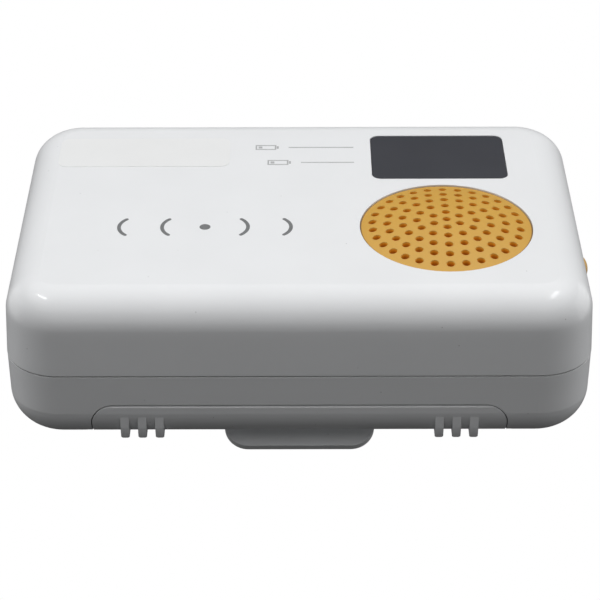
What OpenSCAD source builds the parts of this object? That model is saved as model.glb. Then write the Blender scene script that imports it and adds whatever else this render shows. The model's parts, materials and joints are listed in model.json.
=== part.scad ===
// Pocket pager: a two-shell housing with a domed speaker grille, a smoked display window,
// a side push button, a battery door that wraps onto the near wall and a sprung belt clip.
// Millimetres. X runs right, Y away from the battery-door edge, Z up out of the face.
// The origin is the middle of the footprint; z = 0 is the outer face of the belt clip.

/* [Housing] */
// Width of the housing at the seam
body_w = 115; // [112:0.5:122]
// Depth of the housing at the seam, from the door edge to the far edge
body_d = 78; // [77:0.5:86]
// Height of the front cover above the seam
front_h = 16.6; // [16:0.1:20]
// Height of the rear cover below the seam
rear_h = 16.4; // [16.4:0.1:18]
// Plan radius of the four upright corners
corner_r = 11; // [10.5:0.25:13]
// Radius of the edge round the face
front_edge_r = 7.2; // [6:0.1:7.4]
// Radius of the edge round the back
rear_edge_r = 8.2; // [7:0.1:8.4]
// Draft of the front cover's walls in degrees
front_lean = 2.5; // [1:0.1:3.5]
// Draft of the rear cover's walls in degrees
rear_lean = 1; // [0.5:0.1:1.6]
// Wall thickness of both covers
wall = 2.2; // [2.1:0.05:2.5]
// Step of the rear cover inside the front cover at the seam
seam_step = 0.05; // [0.05:0.05:0.3]
// Bevel on the meeting edges of the covers
seam_bevel = 0.2; // [0.1:0.05:0.35]
// Height of the tongue that locates the covers
tongue_h = 1.2; // [0.8:0.1:1.4]
// Thickness of that tongue
tongue_t = 0.9; // [0.7:0.05:1.1]

/* [Battery door] */
// Distance of the door's sides inside the side walls
door_side_in = 16.9; // [16.5:0.1:19.5]
// Height of the door's lip on the near wall above the back
lip_h = 9.5; // [8.8:0.1:11]
// Corner radius of the lip
lip_r = 4.4; // [2:0.1:4.5]
// Thickness of the door
door_t = 1.8; // [1.6:0.1:1.9]
// Width of the tongue round the door
rail_w = 1.2; // [0.8:0.1:1.3]
// Thickness of that tongue
rail_t = 1; // [0.8:0.05:1.1]
// Radius of the door's two inner corners
door_corner_r = 3; // [2:0.25:5]
// Bevel along the top of the lip
lip_bevel = 0.4; // [0.15:0.05:0.4]
// Middle of the inner finger rib, in from the door's side
rib_in = 13.2; // [12.4:0.1:16]
// Spacing of the finger ribs
rib_pitch = 3.4; // [3:0.05:3.8]
// Width of a finger rib
rib_w = 1.7; // [1.4:0.05:2.2]
// Radius of the finger ribs' outer face
rib_r = 8.5; // [7:0.1:9.5]
// Height above the back at which that face starts to curve
rib_turn = 4.7; // [4:0.1:5.4]
// Height of the finger ribs' underside above the back
rib_lift = 1.4; // [1:0.1:1.8]
// Finger ribs on each side
rib_count = 3; // [2:1:3]

/* [Belt clip] */
// Height of the back of the housing above the clip's outer face
stand_h = 5; // [4.8:0.1:7]
// Width of the clip
clip_w = 30; // [28:0.5:40]
// Thickness of the clip's arm
clip_t = 1.8; // [1.6:0.1:2]
// Corner radius of the clip's thumb end
clip_corner_r = 6.5; // [4:0.25:8]
// Corner radius of the clip's tip
clip_tip_r = 4.8; // [3:0.1:4.8]
// Bevel of the clip's outer edges
clip_bevel = 0.6; // [0.3:0.1:0.8]
// Slope of the bent tip in degrees
clip_slope = 30; // [26:1:34]
// Distance of the clip's tip inside the near wall
clip_tip_in = 5; // [4:0.1:9]
// Distance of the clip's thumb end inside the far wall
clip_tail_in = 8; // [7:0.25:10]
// Place of the hinge pin, as a share of the way from the door to the far wall
hinge_share = 0.292; // [0.27:0.002:0.32]
// Height of the hinge pin above the clip's outer face
pin_z = 2.6; // [2.4:0.05:2.6]
// Diameter of the hinge pin
pin_d = 2; // [1.6:0.1:2.2]
// Radius of the hinge barrels
barrel_r = 2.1; // [1.9:0.05:2.15]
// Half width of the spring bay in the hinge
spring_bay = 4.2; // [4:0.1:4.6]
// Width of a clip barrel and of a housing ear
barrel_w = 3.6; // [3:0.1:3.8]
// Wire diameter of the clip spring
clip_wire_d = 0.6; // [0.5:0.05:0.65]
// Turns of the clip spring
clip_turns = 5; // [3:1:5]

/* [Speaker] */
// Middle of the grille, in from the right wall
grille_side_in = 28.05; // [26.8:0.25:30.5]
// Middle of the grille, in from the near wall
grille_in = 29; // [27:0.25:30.5]
// Diameter of the grille
grille_d = 34.4; // [33.6:0.1:34.8]
// Rise of the grille's dome
grille_rise = 2.1; // [1:0.1:2.6]
// Depth of the grille's rim below the face
grille_drop = 0.3; // [0.1:0.05:0.4]
// Thickness of the grille
grille_t = 1.4; // [1.2:0.1:1.6]
// Rings of holes round the middle hole
grille_rings = 5; // [3:1:5]
// Spacing of the rings
ring_pitch = 2.96; // [2.7:0.02:2.98]
// Diameter of a grille hole
grille_hole_d = 1.65; // [1.2:0.05:1.8]
// Diameter of the speaker
speaker_d = 36; // [35.5:0.1:36.4]
// Thickness of the speaker's foam ring
gasket_t = 0.8; // [0.6:0.1:1]

/* [Window] */
// Middle of the window, in from the right wall
window_side_in = 28.15; // [27.5:0.25:29.5]
// Far edge of the window, in from the far wall
window_far_in = 10; // [9.4:0.1:11]
// Space between the grille and the window
window_gap = 2.8; // [2.4:0.1:3.6]
// Width of the window
window_w = 28.1; // [27.5:0.1:29]
// Corner radius of the window
window_r = 1.8; // [1:0.1:3]
// Thickness of the window
window_t = 1.2; // [1:0.05:1.4]

/* [Side button] */
// Middle of the button, in from the near wall
button_in = 30.5; // [29:0.25:38]
// Diameter of the button
button_d = 4.6; // [4:0.1:6]
// How far the button stands out of the side wall
button_out = 1.3; // [1.1:0.1:2]
// Travel of the button
button_travel = 0.5; // [0.3:0.05:0.5]

/* [Inside] */
// Diameter of a battery cell
cell_d = 14.5; // [13.9:0.1:14.5]
// Length of a battery cell with its button end
cell_len = 50.5; // [49:0.5:50.5]
// Battery cells side by side
cell_count = 3; // [2:1:3]
// Thickness of the circuit board
board_t = 1.6; // [1.2:0.1:1.6]
// Distance of the circuit board inside the side walls
board_side_in = 5.5; // [5:0.25:6]
// Distance of the circuit board inside the near and far walls
board_end_in = 4; // [3.5:0.25:4.5]
// Case screws, from the side walls
screw_side_in = 11.3; // [11.2:0.05:11.4]
// Case screws, from the near and far walls
screw_end_in = 11.8; // [11.75:0.05:11.9]
// Shank diameter of a case screw
screw_d = 2.4; // [2:0.1:2.6]

/* [Fits] */
// Gap round the battery door
door_gap = 0.2; // [0.15:0.05:0.25]
// Gap between the door and the seat behind it
seat_gap = 0.15; // [0.1:0.05:0.2]
// Gap round the grille, the window and the tongue
trim_gap = 0.1; // [0.05:0.01:0.15]
// Gap round the side button
button_gap = 0.1; // [0.08:0.02:0.2]
// Radial clearance of the hinge pin in the clip
pin_play = 0.06; // [0.04:0.01:0.08]
// Free space above and below the cells
cell_play = 0.3; // [0.2:0.05:0.3]

/* [Hidden] */
$fn = 64;
eps = 0.01;

// Levels
back_z = stand_h;
seam_z = back_z + rear_h;
face_z = seam_z + front_h;
inner_z = face_z - wall;
near_y = -body_d / 2;
far_y = body_d / 2;

// Battery bay: the cells lie along X between a plate and a spring
coil_wire_d = 0.6;
coil_pitch = 1.05;
coil_turns = 4;
coil_len = coil_turns * coil_pitch + coil_wire_d;
plate_t = 0.4;
tub_t = 1.1;
cell_pitch = cell_d + 0.2;
bay_half = (cell_len + coil_len) / 2 + plate_t;
bay_y0 = near_y + 3.95;
bay_y1 = bay_y0 + cell_count * cell_pitch + 0.1;
cell_z = back_z + door_t + cell_play + cell_d / 2;
tub_in_z = cell_z + cell_d / 2 + cell_play;
tub_top_z = tub_in_z + tub_t;
function cell_y(i) = bay_y0 + 0.05 + cell_pitch * (i + 0.5);
function cell_way(i) = i % 2 == 0 ? -1 : 1;

// Battery door
door_w = body_w - 2 * door_side_in;
door_y1 = bay_y1 + 1.6;
rib_x = door_w / 2 - rib_in;
seat_in = door_t + seat_gap;
seat_t = 1.25;
rib_sink = 0.1;
rib_top = rear_edge_r - 0.5;
rib_corner_r = 0.5;
rear_w = body_w - 2 * seam_step;
rear_d = body_d - 2 * seam_step;

// Circuit board and what stands on it
board_w = body_w - 2 * board_side_in;
board_d = body_d - 2 * board_end_in;
board_z = tub_top_z + 0.8;
board_top = board_z + board_t;
switch_x1 = board_w / 2 - 0.1;
switch_depth = 3.3;
plunger_len = 1.4;
button_y = near_y + button_in;
button_z = seam_z + 5.8;
button_wall = body_w / 2 - (button_z - seam_z) * tan(front_lean);
button_inner = button_wall - wall;
button_flange = 1;
button_stop = 0.35;

// Screws
screw_x = body_w / 2 - screw_side_in;
screw_y = body_d / 2 - screw_end_in;
screw_head_r = 2.2;
screw_head_h = 1.7;
screw_seat = 4;
screw_len = 10;
pocket_r = 2.6;
post_r = 2.4;
post_screw_d = 1.6;
post_in = 4;
post_spots = [[6.2 - screw_x, screw_y - 5.2], [6.2 - screw_x, 5.2 - screw_y],
  [5, board_d / 2 - post_in], [board_w / 2 - post_in, screw_y - 13.2]];

// Speaker and window places
grille_x = body_w / 2 - grille_side_in;
grille_y = near_y + grille_in;
grille_rim_z = face_z - grille_drop;
grille_floor_z = grille_rim_z - 1;
grille_ball_r = ((grille_d / 2) * (grille_d / 2) + grille_rise * grille_rise) / (2 * grille_rise);
grille_rim_w = 1.2;
window_x = body_w / 2 - window_side_in;
window_y0 = grille_y + grille_d / 2 + window_gap;
window_d = far_y - window_far_in - window_y0;
window_y = window_y0 + window_d / 2;
window_z = face_z - 0.1;
window_ledge = 1;
speaker_top = inner_z - gasket_t;

// Belt clip
clip_y0 = near_y + clip_tip_in;
clip_y1 = far_y - clip_tail_in;
clip_play = 0.5;
bead_out = 0.15;
bead_r = clip_t / 2 + bead_out;
bead_z = back_z - clip_play - bead_r;
tip_len = (bead_z - clip_t / 2 * cos(clip_slope)) / sin(clip_slope);
bead_y = clip_y0 + clip_t / 2 * sin(clip_slope) + tip_len * cos(clip_slope);
ramp_y = bead_y + (bead_z - clip_t / 2) / tan(clip_slope);
hinge_y = door_y1 + hinge_share * (far_y - door_y1);
ear_x0 = spring_bay + barrel_w + 0.6;
ear_w = barrel_w - 0.6;
coil_r = pin_d / 2 + 0.4 + clip_wire_d / 2;
clip_coil_pitch = clip_wire_d + 0.45;

// Shared forms

function heading(a) = [cos(a), sin(a)];

// The part of a disc outside its chord from angle a0 to a1: it rounds a corner cut straight
module arc_cap(middle, r, a0, a1) {
  intersection() {
    translate(middle) circle(r);
    polygon([for (q = [[1, a0], [2, a0], [3, (a0 + a1) / 2], [2, a1], [1, a1]])
      middle + q[0] * r * heading(q[1])]);
  }
}

// Section of a cover: a leaning wall, a round edge and a flat top, from start out to the wall.
// The edge circle is a hair larger than one that just touches, so that it cuts both lines.
module half_profile(reach, height, edge_r, lean, bevel = 0, start = 0) {
  arc_z = height - edge_r;
  middle = [reach - edge_r / cos(lean) - arc_z * tan(lean), arc_z];
  difference() {
    polygon([[start, 0], [reach - bevel, 0], [reach - bevel * tan(lean), bevel],
      [reach - height * tan(lean), height], [start, height]]);
    difference() {
      polygon([for (q = [[0, 0], [2, lean], [3, 45 + lean / 2], [2, 90]])
        middle + q[0] * edge_r * heading(q[1])]);
      translate(middle) circle(edge_r + eps);
    }
  }
}

// Half a rounded box standing on its open side: a block, four walls and four corners
module half_box(w, d, height, plan_r, edge_r, lean, bevel = 0) {
  x = w / 2 - plan_r;
  y = d / 2 - plan_r;
  translate([-x, -y, 0]) cube([2 * x, 2 * y, height]);
  for (sx = [0, 1]) mirror([sx, 0, 0]) {
    for (sy = [0, 1]) mirror([0, sy, 0]) translate([x, y, 0])
      rotate_extrude(angle = 90) half_profile(plan_r, height, edge_r, lean, bevel);
    translate([x, y, 0]) rotate([90, 0, 0])
      linear_extrude(2 * y) half_profile(plan_r, height, edge_r, lean, bevel);
  }
  for (sy = [0, 1]) mirror([0, sy, 0]) translate([-x, y, 0]) rotate([90, 0, 90])
    linear_extrude(2 * x) half_profile(plan_r, height, edge_r, lean, bevel);
}

module round_rect(w, d, r) {
  corner = [w / 2 - r, d / 2 - r];
  middles = [for (q = [[1, 1], [-1, 1], [-1, -1], [1, -1]]) [q[0] * corner[0], q[1] * corner[1]]];
  polygon([for (i = [0 : 3]) for (k = [0, 1]) middles[i] + r * heading(90 * (i + k))]);
  for (i = [0 : 3]) arc_cap(middles[i], r, 90 * i, 90 * i + 90);
}

// A strip from base to top with its two top corners round
module arch(half, base, top, r) {
  polygon([[-half, base], [half, base], [half, top - r], [half - r, top], [r - half, top],
    [-half, top - r]]);
  arc_cap([half - r, top - r], r, 0, 90);
  arc_cap([r - half, top - r], r, 90, 180);
}

module slab(x0, x1, y0, y1, z0, z1) {
  translate([x0, y0, z0]) cube([x1 - x0, y1 - y0, z1 - z0]);
}

module upright(x, y, z0, z1, r) {
  translate([x, y, z0]) cylinder(h = z1 - z0, r = r);
}

module along_x(x0, x1, y, z, r) {
  translate([x0, y, z]) rotate([0, 90, 0]) cylinder(h = x1 - x0, r = r);
}

module at_corners(x, y) {
  for (sx = [-1, 1]) for (sy = [-1, 1]) translate([sx * x, sy * y, 0]) children();
}

// Places a section drawn as (out towards the near wall, down from the seam) along X
module near_run(x0, x1) {
  translate([x0, 0, seam_z]) rotate([-90, 0, -90]) linear_extrude(x1 - x0) children();
}

// Section of the rear cover, taken in by an inset all round
module rear_section(inset) {
  half_profile(rear_d / 2 - inset, rear_h - inset, rear_edge_r - inset, rear_lean, 0, -far_y);
}

// A round wire along a list of points, with its ring turned smoothly from point to point
function unit(v) = v / norm(v);
function across(v) = abs(v[0]) < 0.9 ? cross(v, [1, 0, 0]) : cross(v, [0, 1, 0]);
function tangents(p) = [for (i = [0 : len(p) - 1])
  unit(p[min(i + 1, len(p) - 1)] - p[max(i - 1, 0)])];
function carried(t, n, i = 0) = i == len(t) ? []
  : let (m = unit(n - t[i] * (n * t[i]))) concat([m], carried(t, m, i + 1));
module wire(p, r, sides = 6) {
  t = tangents(p);
  n = carried(t, unit(across(t[0])));
  rings = [for (i = [0 : len(p) - 1]) for (k = [0 : sides - 1])
    let (a = 360 * k / sides) p[i] + r * (cos(a) * n[i] + sin(a) * cross(t[i], n[i]))];
  skin = [for (i = [0 : len(p) - 2]) for (k = [0 : sides - 1]) for (half = [0, 1])
    let (a = i * sides, b = a + sides, j = (k + 1) % sides)
    half == 0 ? [a + k, b + k, b + j] : [a + k, b + j, a + j]];
  last = (len(p) - 1) * sides;
  polyhedron(rings, concat(skin, [[for (k = [0 : sides - 1]) k]],
    [[for (k = [0 : sides - 1]) last + sides - 1 - k]]));
}

// Least free space between the turns of a coil, measured on its points
coil_steps = 10;
function turn_gap(p, r) = min([for (i = [0 : len(p) - 1])
  for (j = [i + coil_steps - 2 : 1 : len(p) - 1]) norm(p[i] - p[j])]) - 2 * r;

// A helix about X: radius goes from r0 to r1 while x goes from x0 to x1
function helix(x0, x1, r0, r1, turns, start) = let (steps = round(turns * coil_steps))
  [for (i = [0 : steps]) let (s = i / steps, a = start + 360 * turns * s, r = r0 + (r1 - r0) * s)
    [x0 + (x1 - x0) * s, r * cos(a), r * sin(a)]];

// Housing

module grille_seat() {
  upright(grille_x, grille_y, grille_floor_z, face_z + 1, grille_d / 2 + trim_gap);
  upright(grille_x, grille_y, inner_z - 1, face_z, grille_d / 2 - grille_rim_w + trim_gap);
}

module window_seat() {
  translate([window_x, window_y, window_z - window_t]) linear_extrude(window_t + 1)
    round_rect(window_w + 2 * trim_gap, window_d + 2 * trim_gap, window_r + trim_gap);
  translate([window_x, window_y, inner_z - 1]) linear_extrude(wall + 1)
    round_rect(window_w - 2 * window_ledge, window_d - 2 * window_ledge, window_r);
}

module front_cover() {
  color([0.92, 0.92, 0.93]) difference() {
    union() {
      translate([0, 0, seam_z]) difference() {
        half_box(body_w, body_d, front_h, corner_r, front_edge_r, front_lean, seam_bevel);
        translate([0, 0, -eps]) half_box(body_w - 2 * wall, body_d - 2 * wall,
          front_h - wall + eps, corner_r - wall, front_edge_r - wall, front_lean);
      }
      translate([0, 0, seam_z - tongue_h]) linear_extrude(tongue_h + 0.4) difference() {
        round_rect(rear_w - 2 * wall + 2 * tongue_t, rear_d - 2 * wall + 2 * tongue_t,
          corner_r - wall + tongue_t);
        round_rect(rear_w - 2 * wall, rear_d - 2 * wall, corner_r - wall);
      }
      at_corners(screw_x, screw_y) upright(0, 0, seam_z + 0.1, inner_z + 0.5, 3.3);
      for (p = post_spots) upright(p[0], p[1], board_top, inner_z + 0.5, post_r);
      difference() {
        upright(grille_x, grille_y, inner_z - 3, inner_z + 0.5, speaker_d / 2 + 1.5);
        upright(grille_x, grille_y, inner_z - 4, inner_z, speaker_d / 2 + 0.3);
      }
    }
    grille_seat();
    window_seat();
    along_x(button_inner - 1, body_w, button_y, button_z, button_d / 2 + button_gap);
    at_corners(screw_x, screw_y) upright(0, 0, seam_z, seam_z + screw_len - screw_seat + 0.5,
      screw_d / 2 + 0.05);
    for (p = post_spots) upright(p[0], p[1], board_top - 1, board_top + 4.5,
      post_screw_d / 2 + 0.05);
  }
}

module lip_outline(grow) {
  arch(door_w / 2 + grow, -1, back_z + lip_h + grow, lip_r + grow);
}

module door_outline(grow) {
  arch(door_w / 2 + grow, near_y - 1, door_y1 + grow, door_corner_r + grow);
}

// The block of space that the door takes, grown by a gap
module door_space(grow) {
  intersection() {
    translate([0, far_y, 0]) rotate([90, 0, 0]) linear_extrude(body_d + 2) lip_outline(grow);
    linear_extrude(back_z + lip_h + 2) door_outline(grow);
  }
}

module tub_section() {
  intersection() {
    rear_section(seat_in);
    translate([-bay_y1 - tub_t, 1.6]) square([bay_y1 + tub_t - near_y, rear_h]);
  }
  translate([-bay_y1 - tub_t, seam_z - tub_top_z])
    square([bay_y1 + tub_t - near_y - 4.6, tub_top_z - seam_z + 3]);
}

module bay() {
  slab(-bay_half, bay_half, bay_y0, bay_y1, back_z - 1, back_z + rear_h - 1.6);
  slab(-bay_half, bay_half, near_y + 4.6 + tub_t, bay_y1, back_z, tub_in_z);
  for (i = [0 : cell_count - 1]) if (lead_cell(i)) let (s = lead_side(i))
    translate([s * (bay_half + tub_t / 2), cell_y(i), cell_z + 3])
      cube([tub_t + 1, 2.7, plate_t + 0.3], center = true);
}

module seat_section() {
  intersection() {
    difference() {
      rear_section(seat_in);
      rear_section(seat_in + seat_t);
    }
    translate([-door_y1 - rail_w - 1.6, rear_h - lip_h - 1.6]) square([body_d, rear_h]);
  }
}

module ear_section() {
  arc_cap([hinge_y, pin_z], barrel_r, 180, 360);
  translate([hinge_y - barrel_r, pin_z]) square([2 * barrel_r, back_z - pin_z + 0.5]);
}

module rear_cover() {
  rail_half = door_w / 2 + rail_w + door_gap;
  color([0.9, 0.9, 0.91]) difference() {
    union() {
      difference() {
        translate([0, 0, seam_z]) mirror([0, 0, 1]) difference() {
          half_box(rear_w, rear_d, rear_h, corner_r - seam_step, rear_edge_r, rear_lean,
            seam_bevel);
          translate([0, 0, -eps]) half_box(rear_w - 2 * wall, rear_d - 2 * wall,
            rear_h - wall + eps, corner_r - seam_step - wall, rear_edge_r - wall, rear_lean);
          translate([0, 0, -eps]) linear_extrude(tongue_h + trim_gap + eps)
            round_rect(rear_w - 2 * (wall - tongue_t - trim_gap),
              rear_d - 2 * (wall - tongue_t - trim_gap), corner_r - wall + tongue_t + trim_gap);
        }
        door_space(door_gap);
      }
      near_run(-rail_half - 1.4, rail_half + 1.4) seat_section();
      near_run(-bay_half - tub_t, bay_half + tub_t) tub_section();
      at_corners(screw_x, screw_y) upright(0, 0, back_z + 1, seam_z, 4);
      for (s = [-1, 1]) translate([s * (ear_x0 + ear_w / 2) - ear_w / 2, 0, 0])
        rotate([90, 0, 90]) linear_extrude(ear_w) ear_section();
    }
    bay();
    slab(-rail_half, rail_half, near_y - 1, door_y1 + rail_w + door_gap,
      back_z + door_t - rail_t - seat_gap, back_z + seat_in - 0.05);
    at_corners(screw_x, screw_y) {
      upright(0, 0, back_z - 1, seam_z - screw_seat, pocket_r);
      upright(0, 0, back_z, seam_z + 1, screw_d / 2 + 0.15);
    }
    along_x(-body_w / 2, body_w / 2, hinge_y, pin_z, pin_d / 2 + 0.02);
  }
}

module door_section() {
  intersection() {
    difference() {
      rear_section(0);
      rear_section(door_t);
    }
    translate([-door_y1 - 1, rear_h - lip_h - 1]) square([body_d, rear_h]);
  }
}

module rib_section() {
  difference() {
    half_profile(rear_d / 2 - rib_sink, rear_h - rib_turn + rib_r, rib_r, rear_lean);
    rear_section(door_t / 2);
  }
}

// Front view of one rib, standing on its top
module rib_outline() {
  arch(rib_w / 2, -rib_top, -rib_lift, rib_corner_r);
}

module finger_rib(x) {
  intersection() {
    near_run(x - rib_w, x + rib_w) rib_section();
    translate([x, near_y + rear_edge_r, back_z]) rotate([90, 0, 0]) mirror([0, 1, 0])
      linear_extrude(rear_edge_r + 1) rib_outline();
  }
}

// What the bevel takes off the lip's top edge
module lip_bevel_cut() {
  drop = rear_h - lip_h;
  reach = rear_d / 2 - drop * tan(rear_lean);
  polygon([[reach - lip_bevel - 1, drop - 1], [reach + 1, drop + lip_bevel + 1],
    [reach + 1, drop - 1]]);
}

module battery_door() {
  color([0.91, 0.91, 0.92]) {
    difference() {
      intersection() {
        near_run(-door_w / 2 - 1, door_w / 2 + 1) door_section();
        door_space(0);
      }
      near_run(-door_w, door_w) lip_bevel_cut();
    }
    slab(-door_w / 2 - rail_w, door_w / 2 + rail_w, near_y + rear_edge_r + 2, door_y1 + rail_w,
      back_z + door_t - rail_t - 0.05, back_z + door_t - 0.05);
    for (s = [-1, 1]) for (k = [0 : rib_count - 1]) finger_rib(s * (rib_x + k * rib_pitch));
  }
}

// Face trim

module speaker_grille() {
  ball_z = grille_rim_z + grille_rise - grille_ball_r;
  color([0.82, 0.64, 0.3]) translate([grille_x, grille_y, 0]) difference() {
    intersection() {
      upright(0, 0, grille_floor_z, face_z + grille_rise, grille_d / 2);
      translate([0, 0, ball_z]) sphere(grille_ball_r);
    }
    intersection() {
      upright(0, 0, grille_floor_z - 1, face_z + grille_rise, grille_d / 2 - grille_rim_w);
      translate([0, 0, ball_z]) sphere(grille_ball_r - grille_t);
    }
    upright(0, 0, inner_z, face_z + 2 * grille_rise, grille_hole_d / 2);
    for (n = [1 : grille_rings]) for (i = [0 : 6 * n - 1]) rotate(90 + 60 * i / n)
      upright(n * ring_pitch, 0, inner_z, face_z + 2 * grille_rise, grille_hole_d / 2);
  }
}

module display_window() {
  color([0.16, 0.16, 0.18]) translate([window_x, window_y, window_z - window_t])
    linear_extrude(window_t) round_rect(window_w, window_d, window_r);
}

module side_button() {
  shoulder = 0.5;
  cap = button_out - shoulder;
  cap_r = (button_d * button_d / 4 + cap * cap) / (2 * cap);
  stem = button_wall + shoulder - (switch_x1 + plunger_len + 0.05);
  flange_end = button_inner - button_stop - (button_wall + shoulder);
  color([0.85, 0.55, 0.18])
    translate([button_wall + shoulder, button_y, button_z]) rotate([0, 90, 0]) rotate_extrude() {
      intersection() {
        translate([0, cap - cap_r]) circle(cap_r);
        translate([0, -stem]) square([button_d / 2, stem + 2 * cap]);
      }
      translate([0, flange_end - button_flange]) square([button_d / 2 + 0.9, button_flange]);
    }
}

// Belt clip and its hinge

// Side view of the arm: flat from the thumb end, then up a slope to the bead
module arm_section() {
  half = clip_t / 2;
  rise = half * heading(90 - clip_slope);
  turn = half * tan(clip_slope / 2);
  polygon([[clip_y1 - clip_bevel, 0], [clip_y1, clip_bevel], [clip_y1, clip_t],
    [ramp_y + turn, clip_t], [bead_y + rise[0], bead_z + rise[1]],
    [bead_y - rise[0], bead_z - rise[1]], [ramp_y - turn, 0]]);
}

// The arm, with its thumb end round in plan and its long outer edges bevelled
module clip_arm() {
  half = clip_w / 2;
  low = half - clip_bevel;
  intersection() {
    translate([-half, 0, 0]) rotate([90, 0, 90]) linear_extrude(clip_w) arm_section();
    translate([0, 0, -1]) linear_extrude(back_z + 1)
      arch(half + eps, clip_y0, clip_y1 + eps, clip_corner_r);
    translate([0, far_y, 0]) rotate([90, 0, 0]) linear_extrude(body_d)
      polygon([[1 - low, -1], [low - 1, -1], [half + 1, clip_bevel + 1], [half + 1, back_z],
        [-half - 1, back_z], [-half - 1, clip_bevel + 1]]);
  }
}

// The tip slopes down and out from the bead that bears on the door
module clip_tip() {
  along_x(-clip_w / 2, clip_w / 2, bead_y, bead_z, bead_r);
  translate([0, bead_y, bead_z]) rotate([180 + clip_slope, 0, 0])
    translate([0, 0, -clip_t / 2]) linear_extrude(clip_t)
      arch(clip_w / 2, 0, tip_len, clip_tip_r);
}

module belt_clip() {
  color([0.88, 0.88, 0.89]) difference() {
    union() {
      clip_arm();
      clip_tip();
      for (s = [-1, 1]) translate([s * (spring_bay + barrel_w / 2) - barrel_w / 2, 0, 0])
        rotate([90, 0, 90]) linear_extrude(barrel_w) {
          arc_cap([hinge_y, pin_z], barrel_r, 0, 180);
          translate([hinge_y - barrel_r, clip_t - 0.5])
            square([2 * barrel_r, pin_z - clip_t + 0.5]);
        }
    }
    slab(-spring_bay, spring_bay, hinge_y - 2.6, hinge_y + 3.4, -1, clip_t + 0.5);
    for (s = [-1, 1]) translate([s * (ear_x0 + ear_w / 2), hinge_y, 0])
      cube([ear_w + 0.6, 2 * barrel_r + 1.2, 4 * clip_t], center = true);
    along_x(-clip_w, clip_w, hinge_y, pin_z, pin_d / 2 + pin_play);
  }
}

module clip_pin() {
  color([0.7, 0.71, 0.73])
    along_x(-ear_x0 - ear_w, ear_x0 + ear_w, hinge_y, pin_z, pin_d / 2);
}

// Torsion spring: one leg lies under the back, the other on the clip's thumb end
module clip_spring() {
  r = clip_wire_d / 2;
  turns = clip_turns + 7 / 12;
  half = turns * clip_coil_pitch / 2;
  leg = clip_y1 - hinge_y - 3;
  coil = [for (q = helix(-half, half, coil_r, coil_r, turns, 90))
    q + [0, hinge_y, pin_z]];
  back_leg = [[-half, hinge_y + leg, back_z - 0.5], [-half, hinge_y + 2.5, back_z - 0.55],
    [-half, hinge_y + 1, pin_z + coil_r]];
  clip_leg = [[half, hinge_y + 2.4, clip_t + r - 0.02], [half, hinge_y + 3.2, clip_t + r + 0.1],
    [half, hinge_y + leg, clip_t + r + 0.1]];
  echo("clip spring turn gap", turn_gap(coil, r));
  color([0.6, 0.61, 0.63]) wire(concat(back_leg, coil, clip_leg), r);
}

// Speaker, turned about its own axis

module at_speaker() {
  translate([grille_x, grille_y, speaker_top]) children();
}

module speaker_gasket() {
  color([0.15, 0.15, 0.16]) at_speaker() difference() {
    cylinder(h = gasket_t, r = speaker_d / 2);
    translate([0, 0, -1]) cylinder(h = gasket_t + 2, r = speaker_d / 2 - 1.8);
  }
}

module speaker_frame() {
  r = speaker_d / 2;
  color([0.55, 0.56, 0.58]) at_speaker() rotate_extrude()
    polygon([[0, -5.6], [r - 7.8, -5.6], [r - 1.4, -1.2], [r, -1.2], [r, 0], [r - 2, 0],
      [r - 2, -0.8], [r - 8.2, -4.8], [0, -4.8]]);
}

module speaker_magnet() {
  color([0.3, 0.3, 0.32]) at_speaker() translate([0, 0, -8.2])
    cylinder(h = 2.6, r = speaker_d / 4);
}

module speaker_cone() {
  r = speaker_d / 2;
  color([0.2, 0.2, 0.2]) at_speaker() {
    rotate_extrude() polygon([[3.6, -3.3], [4.5, -3.3], [r - 3.6, -0.75], [r - 2.05, -0.75],
      [r - 2.05, -0.4], [r - 3.7, -0.4], [4.4, -2.9], [3.6, -2.9]]);
    translate([0, 0, -3.3]) intersection() {
      translate([0, 0, -3.5]) sphere(5.2);
      cylinder(h = 4, r = 4.2);
    }
  }
}

module speaker_leads() {
  r = speaker_d / 2;
  color([0.75, 0.2, 0.15]) for (s = [-1, 1])
    translate([grille_x, grille_y + 2 * s, 0])
      wire([[-r + 0.8, 0, speaker_top - 1.2], [-r + 0.8, 0, speaker_top - 2.4],
        [-r + 0.2, 0, speaker_top - 4], [-r - 1.6, 0, speaker_top - 5.2],
        [-r - 2.6, 0, speaker_top - 6.6], [-r - 2.8, 0, board_top + 1.6],
        [-r - 2.8, 0, board_top]], 0.4);
}

// Circuit board and the parts on it

module main_board() {
  notch = [screw_x - 4, screw_y - 4];
  color([0.1, 0.38, 0.2]) difference() {
    slab(-board_w / 2, board_w / 2, -board_d / 2, board_d / 2, board_z, board_top);
    for (sx = [0, 1]) mirror([sx, 0, 0]) for (sy = [0, 1]) mirror([0, sy, 0])
      slab(notch[0], board_w, notch[1], board_d, board_z - 1, board_top + 1);
    for (p = post_spots) upright(p[0], p[1], board_z - 1, board_top + 1, post_screw_d / 2 + 0.2);
  }
}

module display_module() {
  w = 20;
  d = window_d - 3.8;
  color([0.2, 0.2, 0.22]) translate([window_x + 2.4, window_y, 0]) {
    difference() {
      slab(-w / 2, w / 2, -d / 2, d / 2, board_top + 2.2, inner_z - 0.5);
      for (s = [-1, 1]) translate([s * w / 4, 0, inner_z - 0.6])
        linear_extrude(1) digit_outline(6, d - 4.6);
    }
    for (s = [-1, 1]) slab(-w / 2 + 2, w / 2 - 2, s * (d / 2 - 1.3) - 1,
      s * (d / 2 - 1.3) + 1, board_top, board_top + 2.5);
  }
}

// The seven bars of one digit
module digit_outline(w, h) {
  bar = 0.9;
  for (y = [-1, 0, 1]) translate([0, y * h / 2]) square([w - 2 * bar, bar], center = true);
  for (x = [-1, 1]) for (y = [-1, 1])
    translate([x * w / 2, y * h / 4]) square([bar, h / 2 - 1.4 * bar], center = true);
}

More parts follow.
